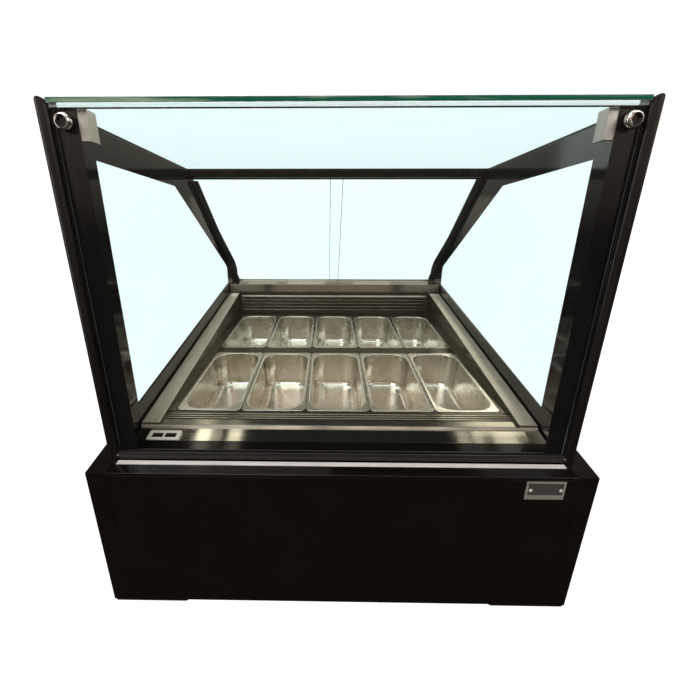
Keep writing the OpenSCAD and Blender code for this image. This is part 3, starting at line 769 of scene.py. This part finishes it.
DOOR_SLOPE = math.radians(39)
DOOR_NORMAL = (0, math.sin(DOOR_SLOPE), math.cos(DOOR_SLOPE))
pane("top_glass", (0, 0, 1), LOOKS["glass"], DARK_EDGE, GREEN_EDGE)
pane("front_glass", (0, 1, 0), LOOKS["front_pane"], DARK_EDGE)
pane("side_glass_left", (1, 0, 0), LOOKS["glass"], DARK_EDGE)
pane("side_glass_right", (1, 0, 0), LOOKS["glass"], DARK_EDGE)
pane("door_left", DOOR_NORMAL, LOOKS["door_pane"], DOOR_EDGE, None, DOOR_EDGE, 1.8)
pane("door_right", DOOR_NORMAL, LOOKS["lapped_pane"], DOOR_EDGE, None, DOOR_EDGE, 1.8)


# ---- small parts -----------------------------------------------------------------


def inlay(name, size, place):
    """A thin dark lens with a chamfered upper edge, size in millimetres, centred on place."""
    bm = bmesh.new()
    loops = []
    w, l, h = (v * MM for v in size)
    chamfer, corner = 0.6 * MM, 1.2 * MM
    for z, inset in ((0, 0), (h - chamfer, 0), (h, chamfer)):
        loops.append(
            [
                bm.verts.new((x, y, z))
                for x, y in rounded_outline(w / 2 - inset, l / 2 - inset, corner, 4)
            ]
        )
    count = len(loops[0])
    for a, b in zip(loops, loops[1:]):
        for k in range(count):
            j = (k + 1) % count
            bm.faces.new((a[k], a[j], b[j], b[k]))
    bm.faces.new(list(reversed(loops[0])))
    bm.faces.new(loops[-1])
    bm.transform(place)
    add_piece(name, bm, "case", [LOOKS["dark_window_and_shade"]], False)


def screw(name, place, radius=4.0):
    """A domed cross-head screw, its head standing on z = 0 of place."""
    bm = bmesh.new()
    profile = [(1.0, 0.0), (1.0, 0.12), (0.92, 0.32), (0.7, 0.48), (0.42, 0.56), (0.3, 0.57)]
    turns = 20
    rings = [
        [
            bm.verts.new(
                (
                    radius * MM * r * math.cos(2 * math.pi * k / turns),
                    radius * MM * r * math.sin(2 * math.pi * k / turns),
                    radius * MM * z,
                )
            )
            for k in range(turns)
        ]
        for r, z in profile
    ]
    slot_ring = [
        bm.verts.new((v.co.x * f, v.co.y * f, radius * MM * 0.3))
        for k, v in enumerate(rings[-1])
        for f in ((0.95 if k % 5 in (0, 4) else 0.35),)
    ]
    rings.append(slot_ring)
    for a, b in zip(rings, rings[1:]):
        for k in range(turns):
            j = (k + 1) % turns
            bm.faces.new((a[k], a[j], b[j], b[k]))
    bm.faces.new(list(reversed(rings[0])))
    bm.faces.new(rings[-1])
    bm.transform(place)
    add_piece(name, bm, "case", [LOOKS["steel"]])


def hem(name, x, start, end):
    """A round rolled hem, narrowed and closed at its ends, along a side strip's inner edge, in the
    lip's painted highlight.
    """
    radius, turns, end_share = 1.3, 10, 0.0015
    start, end = Vector(start), Vector(end)
    ahead = (end - start).normalized()
    up = Vector((1, 0, 0)).cross(ahead)
    bm = bmesh.new()
    rings = []
    for at, swell in ((0, 0.4), (end_share, 1.0), (1 - end_share, 1.0), (1, 0.4)):
        middle = start.lerp(end, at) + Vector((x, 0, 0))
        ring = []
        for k in range(turns):
            a = 2 * math.pi * k / turns
            side = Vector((1, 0, 0)) * math.cos(a) + up * math.sin(a)
            ring.append(bm.verts.new(middle + side * radius * MM * swell))
        rings.append(ring)
    for a, b in zip(rings, rings[1:]):
        for k in range(turns):
            j = (k + 1) % turns
            bm.faces.new((a[k], a[j], b[j], b[k]))
    bm.faces.new(list(reversed(rings[0])))
    bm.faces.new(rings[-1])
    bmesh.ops.recalc_face_normals(bm, faces=bm.faces)
    add_piece(name, bm, "case", [LOOKS["lip"]])


low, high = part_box("side_strip_right")
HEM_FALL = (high.y - low.y) * math.tan(DECK_SLOPE)
for side, x in (("left", -STRIP_EDGE), ("right", STRIP_EDGE)):
    hem(f"strip_hem_{side}", x, (0, low.y, high.z - HEM_FALL), (0, high.y, high.z))

INDICATOR_BACK, INDICATOR_SINK = 0.096, 0.005   # its front edge, behind the panel and in the deck
low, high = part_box("thermometer")
indicator_z = FRONT_H + INDICATOR_BACK * math.tan(DECK_SLOPE) - INDICATOR_SINK
indicator = Matrix.Translation((low.x, FRONT_Y + INDICATOR_BACK, indicator_z))
indicator = indicator @ Matrix.Rotation(DECK_SLOPE, 4, "X")
for side, x in (("left", 22.25), ("right", 52.75)):
    window = Matrix.Translation((x * MM, 15 * MM, 4.55 * MM))
    inlay(f"indicator_window_{side}", (25.9, 13.4, 1.0), indicator @ window)

to_rear = Matrix.Rotation(math.radians(-90), 4, "X")
DISPLAY_AT = (0.307, 0.59655, 0.125)
inlay("control_display", (85.4, 41.4, 0.9), Matrix.Translation(DISPLAY_AT) @ to_rear)
low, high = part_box("rear_panel")
for i, x in enumerate((low.x + 0.014, -0.15, 0.15, high.x - 0.014)):
    for level, z in (("low", low.z + 0.012), ("mid", 0.30), ("high", high.z - 0.016)):
        screw(f"rear_screw_{i}_{level}", Matrix.Translation((x, high.y, z)) @ to_rear)
low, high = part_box("control_panel")
for i, (x, z) in enumerate(
    (x, z) for x in (low.x + 0.006, high.x - 0.006) for z in (low.z + 0.006, high.z - 0.006)
):
    screw(f"panel_screw_{i}", Matrix.Translation((x, high.y, z)) @ to_rear, 2.6)

for node, obj in NODES.items():
    obj.data.materials.clear()
    obj.data.materials.append(LOOKS[SLOT_OF[node]])


# ---- stage ---------------------------------------------------------------------

PALE = 1.12                               # brightness of the floor and the backdrop to the camera
WARM = (1.0, 0.80, 0.62)
# (middle, width, radiance) of the bars over the front strip and of the panels behind the doors
BARS = ((-1.41, 0.15, 2.8), (-1.27, 0.13, 0.6), (-1.06, 0.14, 1.8), (1.47, 0.13, 0.75),
        (1.63, 0.11, 0.75), (1.93, 0.25, 1.05))
BAR_Y, BAR_Z, BAR_LONG = 1.3, 3.0, 0.7
PANELS = ((-0.92, 0.37, 0.3), (-0.33, 0.50, 0.5), (0.56, 0.50, 0.4), (1.15, 0.30, 0.15))
PANEL_Y, PANEL_Z, PANEL_HIGH = 3.6, 1.0, 0.6


def make_floor():
    """A floor that is pale to the camera and plain grey to the light."""
    bm = bmesh.new()
    bmesh.ops.create_grid(bm, x_segments=4, y_segments=4, size=9)
    mesh = bpy.data.meshes.new("floor")
    bm.to_mesh(mesh)
    bm.free()
    mat, t = new_material("floor_pale")
    pale = t.add("ShaderNodeBsdfDiffuse", {"Color": (0.86, 0.86, 0.86)})
    glow = t.add("ShaderNodeEmission", {"Color": (1.0, 1.0, 1.0), "Strength": PALE})
    seen = t.add("ShaderNodeLightPath", out="Is Camera Ray")
    t.end(t.add("ShaderNodeMixShader", {0: seen, 1: pale, 2: glow}))
    mesh.materials.append(mat)
    obj = bpy.data.objects.new("floor", mesh)
    bpy.context.scene.collection.objects.link(obj)
    obj.visible_glossy = False


def make_world():
    """Pale to the camera; a dim warm hall to reflections and soft light."""
    world = bpy.data.worlds.new("studio")
    bpy.context.scene.world = world
    t = Tree(world)
    way = t.add("ShaderNodeTexCoord", out="Generated")
    height = t.axis(way, "Z")
    walls = t.blend(t.span(height, 0.0, 0.38, 0.0, 1.0), (0.03, 0.026, 0.022), (0.68, 0.56, 0.44))
    upper = t.blend(t.span(height, 0.52, 0.66, 0.0, 1.0), walls, (0.02, 0.018, 0.016))
    hall = t.blend(t.span(height, 0.92, 0.98, 0.0, 1.0), upper, (0.30, 0.28, 0.24))
    dim = t.add("ShaderNodeBackground", {"Color": hall, "Strength": 1.0})
    pale = t.add("ShaderNodeBackground", {"Color": (1.0, 1.0, 1.0), "Strength": PALE})
    seen = t.add("ShaderNodeLightPath", out="Is Camera Ray")
    t.end(t.add("ShaderNodeMixShader", {0: seen, 1: dim, 2: pale}), "ShaderNodeOutputWorld")


def softbox(name, at, to, size, radiance, colour=(1.0, 1.0, 1.0)):
    """A soft rectangular light that the camera doesn't see."""
    data = bpy.data.lights.new(name, "AREA")
    data.shape, data.size, data.size_y = "RECTANGLE", size[0], size[1]
    data.energy = radiance * size[0] * size[1] * math.pi
    data.color = colour
    obj = bpy.data.objects.new(name, data)
    bpy.context.scene.collection.objects.link(obj)
    at, to = Vector(at), Vector(to)
    turn = (to - at).to_track_quat("-Z", "Y").to_matrix().to_4x4()
    obj.matrix_world = Matrix.Translation(at) @ turn
    obj.visible_camera = False


make_floor()
make_world()
softbox("key", (-1.3, -2.4, 3.4), (0, 0, 0.5), (2.4, 1.8), 3.6)
softbox("fill", (2.2, -2.2, 2.6), (0, 0, 0.5), (1.6, 1.6), 1.8)
softbox("top", (0, -0.6, 4.2), (0, -0.3, 0), (3.6, 2.4), 1.35, (1.0, 0.93, 0.84))
softbox("front_low", (0, -3.0, 0.3), (0, 0, 0.5), (3.4, 0.6), 0.25, WARM)
softbox("ceiling_right", (2.02, 2.8, 3.0), (2.02, 2.8, 0), (0.8, 2.8), 3.0, WARM)
softbox("ceiling_left", (-2.02, 2.8, 3.0), (-2.02, 2.8, 0), (0.8, 2.8), 0.4, WARM)
softbox("right_back", (2.7, 1.5, 2.0), (0.3, 0, 0.5), (1.4, 1.6), 0.8, WARM)
softbox("left_back", (-2.5, 3.4, 2.1), (0.4, -0.5, 1.0), (1.4, 1.0), 0.8)
softbox("left_front", (-2.8, -1.6, 1.0), (-0.5, -0.55, 0.7), (0.5, 2.2), 2.2)
for i, (x, wide, radiance) in enumerate(PANELS):
    at, to = (x, PANEL_Y, PANEL_Z), (x * 0.35, 0.5, 0.6)
    softbox(f"panel_{i}", at, to, (wide, PANEL_HIGH), radiance, WARM)
for i, (x, wide, radiance) in enumerate(BARS):
    softbox(f"bar_{i}", (x, BAR_Y, BAR_Z), (x, BAR_Y, 0), (wide, BAR_LONG), radiance, WARM)

bpy.context.scene.view_settings.view_transform = "Standard"
